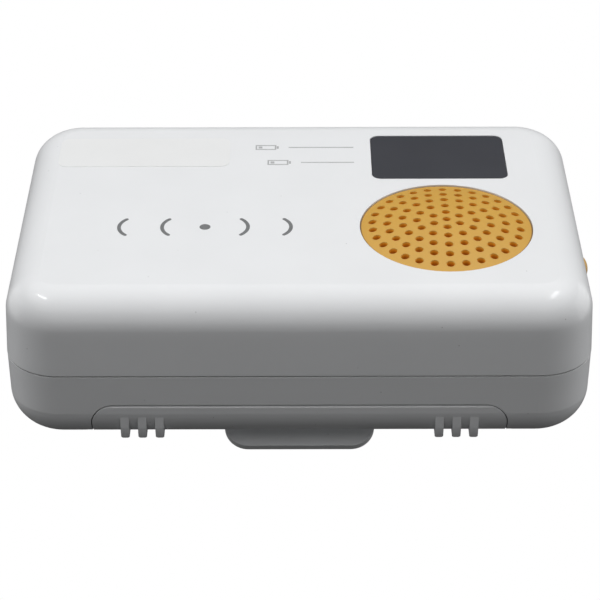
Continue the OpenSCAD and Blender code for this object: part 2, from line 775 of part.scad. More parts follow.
module indicator_leds() {
  color([0.8, 0.15, 0.12]) for (s = [-1, 1])
    translate([window_x - 11.6, window_y + 3.2 * s, 0]) {
      upright(0, 0, inner_z - 5, inner_z - 2, 1.5);
      translate([0, 0, inner_z - 2]) sphere(1.5);
      upright(0, 0, inner_z - 5.8, inner_z - 5, 1.8);
      for (q = [-1, 1]) slab(q * 0.9 - 0.25, q * 0.9 + 0.25, -0.25, 0.25, board_top,
        inner_z - 5.4);
    }
}

module receiver_module() {
  color([0.16, 0.3, 0.55]) translate([22 - board_w / 2, board_d / 2 - 18, board_top]) {
    slab(-7, 7, -9, 9, 0, 1);
    slab(-5.5, 5.5, -3, 7, 1, 3.2);
    for (k = [-2 : 2]) slab(2 * k - 0.6, 2 * k + 0.6, -8, -6.4, 1, 1.5);
  }
}

antenna_r = 2.2;
antenna_wire_d = 0.8;
antenna_turns = 11;
antenna_len = 20;
module antenna_coil() {
  r = antenna_wire_d / 2;
  x = 16 - board_w / 2;
  y = board_d / 2 - 4;
  coil = [for (q = helix(x, x + antenna_len, antenna_r, antenna_r, antenna_turns, -90))
    q + [0, y, board_top + 1.2 + antenna_r]];
  first = coil[0];
  echo("antenna turn gap", turn_gap(coil, r));
  leg = [first[0], y - antenna_r, 0];
  color([0.72, 0.45, 0.2]) wire(concat([leg + [0, 0, board_top], leg + [0, 0, board_top + 0.5],
    leg + [0, 0.5, board_top + 1], leg + [0, 1.3, board_top + 1.2]], coil), r);
}

module board_parts() {
  color([0.1, 0.1, 0.11]) translate([-board_w / 2, 0, board_top]) {
    slab(21, 31, -11, -1, 0, 1.6);
    slab(40, 45, -24, -20, 0, 1.6);
    slab(40, 46, 3, 11, 0, 2.2);
    upright(32, -26, 0, 7, 3.1);
    upright(52, -24, 0, 6, 2.5);
    slab(15, 19, -14, -4, 0, 3.4);
    for (k = [0 : 4]) slab(34 + 3 * k, 35.6 + 3 * k, 14, 17, 0, 0.8);
    for (k = [0 : 3]) slab(22 + 3 * k, 23.6 + 3 * k, -19, -16, 0, 0.8);
  }
}

module push_switch() {
  color([0.14, 0.14, 0.15]) difference() {
    slab(switch_x1 - switch_depth, switch_x1, button_y - 3.1, button_y + 3.1, board_top,
      button_z + 1.8);
    along_x(switch_x1 - 1, switch_x1 + 1, button_y, button_z, 1.1);
  }
}

module switch_plunger() {
  color([0.85, 0.84, 0.8])
    along_x(switch_x1 - 1 + button_travel, switch_x1 + plunger_len, button_y, button_z, 1);
}

// Battery cells, their contacts and leads

function lead_cell(i) = i == 0 || i == cell_count - 1;
function lead_side(i) = i == 0 ? 1 : (cell_count % 2 == 1 ? -1 : 1);

module battery_cells() {
  nub = 1;
  color([0.2, 0.42, 0.3]) for (i = [0 : cell_count - 1])
    translate([cell_way(i) * coil_len / 2, cell_y(i), cell_z]) mirror([cell_way(i) < 0 ? 0 : 1, 0, 0])
      rotate([0, 90, 0]) {
        translate([0, 0, -cell_len / 2 + nub]) cylinder(h = cell_len - nub, r = cell_d / 2);
        translate([0, 0, -cell_len / 2]) cylinder(h = nub + eps, r = 2.75);
      }
}

module battery_springs() {
  r = coil_wire_d / 2;
  color([0.7, 0.71, 0.72]) for (i = [0 : cell_count - 1]) {
    way = -cell_way(i);
    x1 = way * (bay_half - plate_t - r);
    coil = [for (q = helix(x1, x1 - way * (coil_len - 2 * r), 4, 2.4, coil_turns, 0))
      q + [0, cell_y(i), cell_z]];
    if (i == 0) echo("battery spring turn gap", turn_gap(coil, r));
    wire(coil, r);
  }
}

module battery_plates() {
  color([0.78, 0.78, 0.76]) {
    for (s = [-1, 1]) for (i = [0 : cell_count - 1])
      contact_plate(s, cell_y(i) - 5, cell_y(i) + 5);
    for (i = [0 : cell_count - 2]) let (s = i % 2 == 0 ? -1 : 1)
      contact_plate(s, cell_y(i), cell_y(i + 1));
    for (i = [0 : cell_count - 1]) if (lead_cell(i)) let (s = lead_side(i))
      translate([s * (bay_half + tub_t + 1.5 - (tub_t + 1.5 + plate_t) / 2), cell_y(i), cell_z + 3])
        cube([tub_t + 1.5 + plate_t, 2.4, plate_t], center = true);
  }
}

module contact_plate(s, y0, y1) {
  translate([s * (bay_half - plate_t / 2), (y0 + y1) / 2, cell_z])
    cube([plate_t, y1 - y0, 10], center = true);
}

module battery_leads() {
  color([0.15, 0.15, 0.16]) for (i = [0 : cell_count - 1]) if (lead_cell(i)) {
    s = lead_side(i);
    x = bay_half + tub_t + 1.5;
    z = cell_z + 3;
    translate([0, cell_y(i), 0]) wire([[s * x, 0, z], [s * (x + 1.2), 0, z],
      [s * (x + 2.6), 0, z + 0.8], [s * (x + 3.4), 0, z + 2.2], [s * (x + 3.6), 0, board_z - 1.4],
      [s * (x + 3.6), 0, board_z]], 0.5);
  }
}

// Fasteners

module cross_slot(size, depth) {
  for (a = [0, 90]) rotate(a) translate([0, 0, depth / 2 - eps])
    cube([size, size / 4, depth], center = true);
}

module case_screws() {
  head_z = seam_z - screw_seat;
  color([0.75, 0.75, 0.76]) at_corners(screw_x, screw_y) difference() {
    union() {
      upright(0, 0, head_z - screw_head_h, head_z, screw_head_r);
      upright(0, 0, head_z - eps, head_z + screw_len, screw_d / 2);
    }
    translate([0, 0, head_z - screw_head_h]) cross_slot(2.6, 1);
  }
}

module board_screws() {
  color([0.75, 0.75, 0.76]) for (p = post_spots) translate([p[0], p[1], 0]) difference() {
    union() {
      upright(0, 0, board_z - 1.2, board_z, 1.7);
      upright(0, 0, board_z - eps, board_top + 4, post_screw_d / 2);
    }
    translate([0, 0, board_z - 1.2]) cross_slot(1.9, 0.7);
  }
}

front_cover();
rear_cover();
battery_door();
speaker_grille();
display_window();
side_button();
belt_clip();
clip_pin();
clip_spring();
main_board();
speaker_gasket();
speaker_frame();
speaker_magnet();
speaker_cone();
speaker_leads();
display_module();
indicator_leds();
receiver_module();
antenna_coil();
board_parts();
push_switch();
switch_plunger();
battery_cells();
battery_springs();
battery_plates();
battery_leads();
case_screws();
board_screws();
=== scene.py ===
"""Looks of the pager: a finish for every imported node, printed marks on the face, light and camera.

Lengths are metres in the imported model's frame: X right, Y away from the battery door's edge, Z up
out of the face. Values written in millimetres are multiplied by MM. Colours are linear.
"""

import json
import math

import bmesh
import bpy
from mathutils import Matrix, Vector

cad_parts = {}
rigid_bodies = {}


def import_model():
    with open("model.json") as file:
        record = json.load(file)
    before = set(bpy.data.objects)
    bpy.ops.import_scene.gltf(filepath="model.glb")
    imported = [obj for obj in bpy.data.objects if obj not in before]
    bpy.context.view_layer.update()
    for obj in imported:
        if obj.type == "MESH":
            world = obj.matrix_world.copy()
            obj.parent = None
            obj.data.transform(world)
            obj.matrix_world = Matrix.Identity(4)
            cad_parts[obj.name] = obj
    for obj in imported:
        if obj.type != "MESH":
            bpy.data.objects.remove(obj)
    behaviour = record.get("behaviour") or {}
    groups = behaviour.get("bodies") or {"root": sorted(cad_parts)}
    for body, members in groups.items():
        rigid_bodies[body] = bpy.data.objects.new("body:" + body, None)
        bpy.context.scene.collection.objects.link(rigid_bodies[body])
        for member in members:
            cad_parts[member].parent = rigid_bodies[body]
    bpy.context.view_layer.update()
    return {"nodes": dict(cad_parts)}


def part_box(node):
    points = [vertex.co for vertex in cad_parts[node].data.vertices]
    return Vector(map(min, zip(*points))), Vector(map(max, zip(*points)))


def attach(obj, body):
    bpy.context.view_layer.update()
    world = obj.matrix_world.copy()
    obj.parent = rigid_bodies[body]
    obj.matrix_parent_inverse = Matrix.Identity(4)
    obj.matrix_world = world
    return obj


MM = 0.001

for leftover in list(bpy.data.objects):
    bpy.data.objects.remove(leftover)

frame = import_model()
nodes = frame["nodes"]
FACE_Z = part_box("front_cover")[1].z


# Camera, fitted to the photograph's 600 x 600 frame

FRAME_PIXELS = 600
FOCAL_PIXELS = 2232.7
CENTRE_SHIFT_PIXELS = (0.8, -1.2)
SENSOR = 36
CAMERA_PLACE = (0, -396.63 * MM, 261.57 * MM)
CAMERA_PITCH = math.radians(31.88)
CAMERA_ROLL = math.radians(-0.12)
NEAREST_SEEN = 10 * MM


def make_camera():
    """The camera looks along Y and down by its pitch."""
    data = bpy.data.cameras.new("camera")
    data.sensor_width = SENSOR
    data.lens = FOCAL_PIXELS * SENSOR / FRAME_PIXELS
    data.shift_x = CENTRE_SHIFT_PIXELS[0] / FRAME_PIXELS
    data.shift_y = CENTRE_SHIFT_PIXELS[1] / FRAME_PIXELS
    data.clip_start = NEAREST_SEEN
    camera = bpy.data.objects.new("camera", data)
    camera.location = CAMERA_PLACE
    tilt = Matrix.Rotation(math.pi / 2 - CAMERA_PITCH, 3, "X")
    camera.rotation_euler = (tilt @ Matrix.Rotation(CAMERA_ROLL, 3, "Z")).to_euler()
    bpy.context.scene.collection.objects.link(camera)
    bpy.context.scene.camera = camera


make_camera()


# Material building blocks

EDGE_SAMPLES = 8
CREVICE_SAMPLES = 6
CREVICE_OPEN = 0.95
CREVICE_SHUT = 0.35
MOTTLE_LOW = 0.3
MOTTLE_HIGH = 0.7


class Finish:
    """A material under construction: its node tree, its shader and shortcuts to add nodes."""

    def __init__(self, name):
        self.material = bpy.data.materials.new(name)
        self.material.use_nodes = True
        self.tree = self.material.node_tree
        self.shader = self.tree.nodes["Principled BSDF"]
        self.place = self.add("ShaderNodeTexCoord").outputs["Object"]

    def add(self, kind, **settings):
        """A new node with those settings."""
        node = self.tree.nodes.new(kind)
        for key, value in settings.items():
            setattr(node, key, value)
        return node

    def link(self, source, target):
        self.tree.links.new(source, target)

    def feed(self, target, value):
        """Gives a socket a plain value, or links it to another node's output."""
        if isinstance(value, bpy.types.NodeSocket):
            self.link(value, target)
        else:
            target.default_value = value

    def set(self, **values):
        """Sets the shader's own sockets, which are named with _ for each space."""
        for key, value in values.items():
            self.shader.inputs[key.replace("_", " ")].default_value = value

    def noise(self, size, detail=3.0):
        """Noise whose blotches are about size across."""
        node = self.add("ShaderNodeTexNoise")
        node.inputs["Scale"].default_value = 1 / size
        node.inputs["Detail"].default_value = detail
        node.inputs["Roughness"].default_value = 0.55
        self.link(self.place, node.inputs["Vector"])
        return node.outputs["Fac"]

    def ramp(self, source, stops):
        """Colours along a value from 0 to 1."""
        node = self.add("ShaderNodeValToRGB")
        elements = node.color_ramp.elements
        while len(elements) < len(stops):
            elements.new(0.5)
        for element, (spot, colour) in zip(elements, stops):
            element.position = spot
            element.color = (*colour, 1)
        self.link(source, node.inputs["Fac"])
        return node.outputs["Color"]

    def spread(self, source, low, high, since=0.0, until=1.0):
        """Goes from low to high while the source goes from since to until."""
        node = self.add("ShaderNodeMapRange")
        node.inputs["From Min"].default_value = since
        node.inputs["From Max"].default_value = until
        node.inputs["To Min"].default_value = low
        node.inputs["To Max"].default_value = high
        self.link(source, node.inputs["Value"])
        return node.outputs["Result"]

    def mix(self, amount, under, over):
        """A colour laid over another by that amount."""
        node = self.add("ShaderNodeMix", data_type="RGBA")
        self.link(amount, node.inputs["Factor"])
        self.link(under, node.inputs["A"])
        self.feed(node.inputs["B"], (*over, 1) if isinstance(over, tuple) else over)
        return node.outputs["Result"]

    def math(self, operation, first, second):
        node = self.add("ShaderNodeMath", operation=operation)
        self.feed(node.inputs[0], first)
        self.feed(node.inputs[1], second)
        return node.outputs["Value"]

    def axis(self, name):
        node = self.add("ShaderNodeSeparateXYZ")
        self.link(self.place, node.inputs["Vector"])
        return node.outputs[name]

    def off(self, axis, level):
        """How far a spot lies from a level on that axis."""
        return self.math("ABSOLUTE", self.math("SUBTRACT", self.axis(axis), level), 0)

    def distance(self, point, upright=False):
        """How far a spot lies from a point, or from the upright line through it."""
        spot = self.place
        if upright:
            flat = self.add("ShaderNodeVectorMath", operation="MULTIPLY")
            self.link(spot, flat.inputs[0])
            flat.inputs[1].default_value = (1, 1, 0)
            spot = flat.outputs["Vector"]
            point = (point[0], point[1], 0)
        node = self.add("ShaderNodeVectorMath", operation="DISTANCE")
        self.link(spot, node.inputs[0])
        node.inputs[1].default_value = point
        return node.outputs["Value"]

    def crevice(self, reach, most):
        """How far a spot lies in a narrow gap: 0 in the open, most at the bottom."""
        node = self.add("ShaderNodeAmbientOcclusion", samples=CREVICE_SAMPLES)
        node.inputs["Distance"].default_value = reach
        return self.spread(node.outputs["AO"], 0, most, CREVICE_OPEN, CREVICE_SHUT)

    def colour(self, source):
        self.link(source, self.shader.inputs["Base Color"])

    def mottled(self, colour, amount, size):
        """A colour that wanders a little over patches of that size."""
        stops = [(MOTTLE_LOW, shaded(colour, 1 - amount)), (MOTTLE_HIGH, shaded(colour, 1 + amount))]
        return self.ramp(self.noise(size), stops)

    def gloss(self, size, low, high):
        """Roughness that wanders from low to high over patches of that size."""
        self.link(self.spread(self.noise(size), low, high), self.shader.inputs["Roughness"])

    def relief(self, height, depth, strength=1.0, edge=None):
        """Bump of that depth, over edges that are rounded by the edge radius."""
        node = self.add("ShaderNodeBump")
        node.inputs["Distance"].default_value = depth
        node.inputs["Strength"].default_value = strength
        self.link(height, node.inputs["Height"])
        if edge is not None:
            bevel = self.add("ShaderNodeBevel", samples=EDGE_SAMPLES)
            self.feed(bevel.inputs["Radius"], edge)
            self.link(bevel.outputs["Normal"], node.inputs["Normal"])
        self.link(node.outputs["Normal"], self.shader.inputs["Normal"])


def shaded(colour, amount):
    """The colour made darker or lighter by a factor, and never past white."""
    return tuple(min(1.0, channel * amount) for channel in colour)


# Plastics: a fine sparked grain, slight patches of tone and gloss

PLASTIC_PATCH = 18 * MM
PLASTIC_GLOSS_PATCH = 6 * MM
PLASTIC_GLOSS_SWING = 0.05
PLASTIC_EDGE_R = 0.15 * MM


def plastic_skin(finish, rough, grain, depth, edge=PLASTIC_EDGE_R):
    """The gloss and the grain of moulded plastic."""
    finish.gloss(PLASTIC_GLOSS_PATCH, rough - PLASTIC_GLOSS_SWING, rough + PLASTIC_GLOSS_SWING)
    finish.relief(finish.noise(grain, detail=2.0), depth, edge=edge)


def moulded(name, colour, rough, grain, depth, mottle):
    finish = Finish(name)
    finish.colour(finish.mottled(colour, mottle, PLASTIC_PATCH))
    plastic_skin(finish, rough, grain, depth)
    return finish


HOUSING_COLOUR = (0.796, 0.806, 0.818)
SPECK_PITCH = 3.2 * MM
SPECK_SIZE = 0.034
SPECK_LEVEL = 0.45
SPECK_SHARE = 0.5
SPECK_COLOUR = (0.12, 0.12, 0.12)
# Painted shade in the seam of the two shells and in other narrow gaps of the housing
SEAM_Z = 21.4 * MM
SEAM_REACH = 1.2 * MM
SHADE_FREE_RIM = 2 * MM
GAP_SHADE_REACH = 0.6 * MM
GAP_SHADE_MOST = 0.95
GAP_SHADE_AWAY_FROM_SEAM = 0.3
GAP_SHADE_COLOUR = (0.05, 0.05, 0.054)
BLEND_DROP = 8 * MM
BLEND_REACH = 4.5 * MM
BLEND_R = 3.5 * MM


def with_specks(finish, under):
    """Sparse dark specks: a few cells of a cell pattern have one at their middle."""
    cells = finish.add("ShaderNodeTexVoronoi")
    cells.inputs["Scale"].default_value = 1 / SPECK_PITCH
    finish.link(finish.place, cells.inputs["Vector"])
    draw = finish.add("ShaderNodeSeparateColor")
    finish.link(cells.outputs["Color"], draw.inputs["Color"])
    middle = finish.math("LESS_THAN", cells.outputs["Distance"], SPECK_SIZE)
    chosen = finish.math("GREATER_THAN", draw.outputs["Red"], SPECK_LEVEL)
    speck = finish.math("MULTIPLY", middle, chosen)
    return finish.mix(finish.math("MULTIPLY", speck, SPECK_SHARE), under, SPECK_COLOUR)


def with_painted_gap_shade(finish, under):
    """Painted shade, from ambient occlusion, in the seam of the two shells, less of it in other gaps
    and none on the face.
    """
    at_seam = finish.math("LESS_THAN", finish.off("Z", SEAM_Z), SEAM_REACH)
    below_face = finish.math("LESS_THAN", finish.axis("Z"), FACE_Z - SHADE_FREE_RIM)
    share = finish.math("MULTIPLY", finish.spread(at_seam, GAP_SHADE_AWAY_FROM_SEAM, 1), below_face)
    # Painted shade: the base colour darkens where ambient occlusion finds a narrow gap
    painted_shade = finish.math("MULTIPLY", finish.crevice(GAP_SHADE_REACH, GAP_SHADE_MOST), share)
    return finish.mix(painted_shade, under, GAP_SHADE_COLOUR)


def housing_white():
    """White ABS with a light gloss and painted shade in its seam and gaps. Its wide edge blends softly
    into the walls below the face.
    """
    finish = Finish("white_abs_grain")
    finish.set(Specular_IOR_Level=0.35, Coat_Weight=0.3, Coat_Roughness=0.11)
    white = finish.mottled(HOUSING_COLOUR, 0.012, PLASTIC_PATCH)
    finish.colour(with_painted_gap_shade(finish, with_specks(finish, white)))
    from_blend = finish.off("Z", FACE_Z - BLEND_DROP)
    edge = finish.spread(from_blend, BLEND_R, PLASTIC_EDGE_R, until=BLEND_REACH)
    plastic_skin(finish, rough=0.42, grain=0.22 * MM, depth=0.003 * MM, edge=edge)
    return finish.material


AMBER_COLOUR = (0.61, 0.345, 0.062)
AMBER_MOTTLE = 0.03
AMBER_SKIN = {"rough": 0.46, "grain": 0.2 * MM, "depth": 0.004 * MM}
DOME_RISE = 2.1 * MM
# Painted shadow line in the gap round the dome's rim
RIM_SHADOW_W = 0.22 * MM
RIM_SHADOW_SHARE = 0.75
RIM_SHADOW_COLOUR = (0.2, 0.1, 0.035)
HOLE_LIP = 0.06 * MM
HOLE_DEPTH = 1.1 * MM
# Painted light and shade down the hole walls: a bright red-orange glow near the top, darker and redder
# deeper down
HOLE_WALL_LIGHT_AND_SHADE = [(0.06, (1.0, 0.6, 0.1)), (0.35, (1.0, 0.44, 0.03)), (0.8, (0.7, 0.21, 0.008))]


def amber_plastic():
    return moulded("amber_grain", AMBER_COLOUR, mottle=AMBER_MOTTLE, **AMBER_SKIN).material


def amber_dome():
    """Amber plastic with a painted shadow line at its rim, and painted light and shade down the walls
    of its holes: a bright red-orange glow near the top, darker deeper down.
    """
    low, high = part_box("speaker_grille")
    half = (high.x - low.x) / 2
    ball = (half * half + DOME_RISE * DOME_RISE) / (2 * DOME_RISE)
    middle = ((low.x + high.x) / 2, (low.y + high.y) / 2, high.z - ball)
    finish = Finish("amber_dome_grain")
    plastic_skin(finish, **AMBER_SKIN)
    amber = finish.mottled(AMBER_COLOUR, AMBER_MOTTLE, PLASTIC_PATCH)
    # Painted shadow: the outer edge of the dome is darkened to brown
    rim = finish.math("GREATER_THAN", finish.distance(middle, upright=True), half - RIM_SHADOW_W)
    rim_shadowed = finish.mix(finish.math("MULTIPLY", rim, RIM_SHADOW_SHARE), amber, RIM_SHADOW_COLOUR)
    depth = finish.math("SUBTRACT", ball, finish.distance(middle))
    inside = finish.math("GREATER_THAN", depth, HOLE_LIP)
    # Painted light and shade on the hole walls, by depth below the dome's surface
    walls = finish.ramp(finish.spread(depth, 0, 1, until=HOLE_DEPTH), HOLE_WALL_LIGHT_AND_SHADE)
    finish.colour(finish.mix(inside, rim_shadowed, walls))
    return finish.material


def smoked_window():
    """Smoked acrylic: nearly black, with a hard gloss."""
    colour = (0.056, 0.058, 0.067)
    finish = moulded("smoked_gloss", colour, rough=0.16, grain=1.5 * MM, depth=0.0006 * MM, mottle=0.04)
    finish.set(Coat_Weight=0.3, Coat_Roughness=0.05)
    return finish.material


def lamp_lens():
    """Red epoxy that lets some light through."""
    colour = (0.62, 0.05, 0.03)
    finish = moulded("lamp_red", colour, rough=0.2, grain=0.8 * MM, depth=0.001 * MM, mottle=0.05)
    finish.set(Transmission_Weight=0.35, IOR=1.5)
    return finish.material


def black_case():
    colour = (0.018, 0.018, 0.02)
    return moulded(
        "black_case", colour, rough=0.42, grain=0.3 * MM, depth=0.004 * MM, mottle=0.12
    ).material


def cream_plunger():
    colour = (0.6, 0.56, 0.46)
    return moulded(
        "cream_plunger", colour, rough=0.4, grain=0.3 * MM, depth=0.003 * MM, mottle=0.02
    ).material


# Finishes of the inner parts

BOARD_LANE = 5 * MM
CELL_BAND_FROM = 15 * MM
CELL_END_FROM = 26.6 * MM
CELL_SLEEVE = (0.05, 0.16, 0.09)
CELL_BAND = (0.55, 0.36, 0.14)
CELL_END = (0.6, 0.6, 0.6)


def metal(name, colour, rough):
    """Plated metal with fine streaks and a cloudy gloss."""
    finish = Finish(name)
    finish.set(Metallic=1.0)
    finish.colour(finish.mottled(colour, 0.06, 2.5 * MM))
    finish.gloss(1.2 * MM, rough - 0.08, rough + 0.1)
    finish.relief(finish.noise(0.4 * MM), 0.006 * MM, strength=0.6, edge=0.08 * MM)
    return finish.material


def laminate(name, colour, track):
    """Circuit board: solder mask over lanes of track, with a cloudy gloss."""
    finish = Finish(name)
    lanes = finish.add("ShaderNodeTexBrick", offset=0.37, squash=1.0)
    lanes.inputs["Scale"].default_value = 1 / BOARD_LANE
    lanes.inputs["Mortar Size"].default_value = 0.045
    lanes.inputs["Mortar Smooth"].default_value = 0.1
    lanes.inputs["Color1"].default_value = (*colour, 1)
    lanes.inputs["Color2"].default_value = (*shaded(colour, 0.88), 1)
    lanes.inputs["Mortar"].default_value = (*track, 1)
    finish.link(finish.place, lanes.inputs["Vector"])
    finish.colour(lanes.outputs["Color"])
    finish.gloss(3 * MM, 0.28, 0.4)
    finish.relief(lanes.outputs["Fac"], 0.02 * MM, strength=0.7)
    return finish.material


def cell_jacket():
    """Battery sleeve: printed film in two colours, with bare metal at both ends."""
    finish = Finish("cell_sleeve")
    reach = finish.off("X", 0)
    band = finish.math("GREATER_THAN", reach, CELL_BAND_FROM)
    end = finish.math("GREATER_THAN", reach, CELL_END_FROM)
    banded = finish.mix(band, finish.mottled(CELL_SLEEVE, 0.06, 9 * MM), CELL_BAND)
    finish.colour(finish.mix(end, banded, CELL_END))
    finish.link(end, finish.shader.inputs["Metallic"])
    finish.gloss(4 * MM, 0.25, 0.4)
    finish.relief(finish.noise(0.6 * MM), 0.004 * MM, strength=0.5, edge=0.2 * MM)
    return finish.material


def wire_finish(name, colour, rough, metallic=0.0):
    """Enamelled wire or sleeving, slightly uneven in tone."""
    finish = Finish(name)
    finish.set(Metallic=metallic)
    finish.colour(finish.mottled(colour, 0.08, 1.5 * MM))
    finish.gloss(0.8 * MM, rough - 0.06, rough + 0.06)
    finish.relief(finish.noise(0.3 * MM), 0.004 * MM, strength=0.5)
    return finish.material


def open_foam():
    """Black foam with open pores."""
    finish = Finish("foam_black")
    finish.colour(finish.mottled((0.02, 0.02, 0.021), 0.3, 0.8 * MM))
    finish.gloss(0.5 * MM, 0.85, 1.0)
    finish.relief(finish.noise(0.35 * MM, detail=4.0), 0.12 * MM)
    return finish.material


def cone_paper():
    """Black pulp with fine fibres."""
    finish = Finish("cone_paper")
    finish.colour(finish.mottled((0.028, 0.027, 0.026), 0.25, 1.5 * MM))
    finish.gloss(0.7 * MM, 0.7, 0.9)
    finish.relief(finish.noise(0.25 * MM, detail=5.0), 0.03 * MM)
    return finish.material


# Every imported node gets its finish

FINISHES = [
    (housing_white(), ["front_cover", "rear_cover", "battery_door", "belt_clip"]),
    (amber_plastic(), ["side_button"]),
    (amber_dome(), ["speaker_grille"]),
    (smoked_window(), ["display_window"]),
    (lamp_lens(), ["indicator_leds"]),
    (black_case(), ["display_module", "board_parts", "push_switch"]),
    (cream_plunger(), ["switch_plunger"]),
    (
        metal("bright_zinc", (0.62, 0.63, 0.65), rough=0.3),
        ["clip_pin", "case_screws", "board_screws", "battery_plates", "speaker_frame"],
    ),
    (metal("spring_wire", (0.5, 0.51, 0.53), rough=0.26), ["clip_spring", "battery_springs"]),
    (metal("ferrite_grey", (0.09, 0.09, 0.1), rough=0.55), ["speaker_magnet"]),
    (laminate("board_green", (0.012, 0.1, 0.035), track=(0.03, 0.17, 0.06)), ["main_board"]),
    (laminate("board_blue", (0.012, 0.05, 0.17), track=(0.03, 0.1, 0.26)), ["receiver_module"]),
    (cell_jacket(), ["battery_cells"]),
    (wire_finish("copper_enamel", (0.55, 0.25, 0.1), rough=0.3, metallic=1.0), ["antenna_coil"]),
    (wire_finish("red_sleeving", (0.42, 0.03, 0.02), rough=0.45), ["speaker_leads"]),
    (wire_finish("black_sleeving", (0.02, 0.02, 0.021), rough=0.45), ["battery_leads"]),
    (open_foam(), ["speaker_gasket"]),
    (cone_paper(), ["speaker_cone"]),
]

for finish_material, names in FINISHES:
    for name in names:
        for material_slot in nodes[name].material_slots:
            material_slot.material = finish_material


# Marks on the face: a bare label, a generic radio-wave mark and two small battery marks

PRINT_T = 0.03 * MM
LABEL_T = 0.07 * MM
CORNER_STEPS = 8
BAR_STEPS = 20
BAR_END_STEPS = 6


def arc(middle, radius, start, end, steps):
    """Points on a circle from start to end, in degrees."""
    turns = [math.radians(start + (end - start) * step / steps) for step in range(steps + 1)]
    x, y = middle
    return [(x + radius * math.cos(turn), y + radius * math.sin(turn)) for turn in turns]


def rounded_rectangle(middle, width, depth, radius):
    """Outline of a rectangle with round corners."""
    points = []
    for quarter, (side_x, side_y) in enumerate(((1, 1), (-1, 1), (-1, -1), (1, -1))):
        corner_x = middle[0] + side_x * (width / 2 - radius)
        corner_y = middle[1] + side_y * (depth / 2 - radius)
        start = 90 * quarter
        points += arc((corner_x, corner_y), radius, start, start + 90, CORNER_STEPS)
    return points


def curved_bar(middle, radius, width, start, end):
    """Outline of a bar bent along a circle, with round ends."""
    outer = arc(middle, radius + width / 2, start, end, BAR_STEPS)
    inner = arc(middle, radius - width / 2, end, start, BAR_STEPS)
    tip = arc(middle, radius, end, end, 1)[0]
    tail = arc(middle, radius, start, start, 1)[0]
    tip_end = arc(tip, width / 2, end, end + 180, BAR_END_STEPS)[1:-1]
    tail_end = arc(tail, width / 2, start + 180, start + 360, BAR_END_STEPS)[1:-1]
    return outer + tip_end + inner + tail_end


def bar(left, right, near, far):
    """Outline of a straight bar."""
    return [(left, near), (right, near), (right, far), (left, far)]


def plates(name, outlines, thickness, material):
    """Thin closed plates of those outlines, lying on the face."""
    build = bmesh.new()
    for outline in outlines:
        low = [build.verts.new((x, y, FACE_Z)) for x, y in outline]
        high = [build.verts.new((x, y, FACE_Z + thickness)) for x, y in outline]
        build.faces.new(high)
        build.faces.new(low[::-1])
        rim = list(zip(low, high))
        for (low_here, high_here), (low_next, high_next) in zip(rim, rim[1:] + rim[:1]):
            build.faces.new((low_here, low_next, high_next, high_here))
    bmesh.ops.triangulate(build, faces=[face for face in build.faces if len(face.verts) > 4])
    mesh = bpy.data.meshes.new(name)
    build.to_mesh(mesh)
    build.free()
    mesh.materials.append(material)
    piece = bpy.data.objects.new(name, mesh)
    bpy.context.scene.collection.objects.link(piece)
    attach(piece, "housing")


def ink(name, colour):
    """Matt printing ink, a little uneven."""
    finish = Finish(name)
    finish.colour(finish.mottled(colour, 0.06, 0.7 * MM))
    finish.gloss(1.5 * MM, 0.4, 0.55)
    finish.relief(finish.noise(0.15 * MM), 0.002 * MM, strength=0.6)
    return finish.material


def label_film():
    """White film with a satin gloss, slightly wavy."""
    finish = Finish("label_film")
    finish.colour(finish.mottled((0.797, 0.803, 0.803), 0.008, 10 * MM))
    finish.gloss(5 * MM, 0.3, 0.38)
    finish.relief(finish.noise(2.5 * MM), 0.003 * MM, strength=0.5)
    return finish.material


LABEL_MIDDLE = (-32.6 * MM, 21.6 * MM)
LABEL_W = 36 * MM
LABEL_D = 12.5 * MM
LABEL_R = 2 * MM
LABEL_OUTLINE = rounded_rectangle(LABEL_MIDDLE, LABEL_W, LABEL_D, LABEL_R)

WAVE_MIDDLE = (-18.8 * MM, -9.9 * MM)
WAVE_STEP = 8.6 * MM
WAVE_HALF = 3.1 * MM
WAVE_SPREAD = 48
WAVE_R = WAVE_HALF / math.sin(math.radians(WAVE_SPREAD))
WAVE_STROKE = 0.75 * MM
DOT_R = 1.1 * MM
DOT_SIDES = 24


def radio_mark():
    """Wide-set wave mark: a dot with two arcs on each side."""
    shapes = [arc(WAVE_MIDDLE, DOT_R, 0, 360 - 360 / DOT_SIDES, DOT_SIDES - 1)]
    for side, facing in ((-1, 180), (1, 0)):
        for ring in (1, 2):
            tip_x = WAVE_MIDDLE[0] + side * ring * WAVE_STEP
            middle = (tip_x - side * WAVE_R, WAVE_MIDDLE[1])
            start = facing - WAVE_SPREAD
            shapes.append(curved_bar(middle, WAVE_R, WAVE_STROKE, start, facing + WAVE_SPREAD))
    return shapes


LINE = 0.32 * MM
BATTERY_W = 4.4 * MM
BATTERY_D = 2.1 * MM
CAP_GAP = 0.1 * MM
CAP_W = 0.4 * MM
CHARGE_INSET = 2 * LINE
CHARGE_W = 2.5 * LINE
LEAD_FROM = 1.6 * BATTERY_W
LEAD_END = 11.6 * MM
LEAD_ROWS = ((-9.2 * MM, 23.8 * MM), (-6.6 * MM, 17.1 * MM))


def battery_mark(left, y):
    """A low battery seen flat: a frame, its cap and one bar left."""
    right = left + BATTERY_W
    near = y - BATTERY_D / 2
    far = y + BATTERY_D / 2
    cap = right + CAP_GAP
    charge = left + CHARGE_INSET
    return [
        bar(left, right, far - LINE, far),
        bar(left, right, near, near + LINE),
        bar(left, left + LINE, near + LINE, far - LINE),
        bar(right - LINE, right, near + LINE, far - LINE),
        bar(cap, cap + CAP_W, y - BATTERY_D / 4, y + BATTERY_D / 4),
        bar(charge, charge + CHARGE_W, near + CHARGE_INSET, far - CHARGE_INSET),
    ]


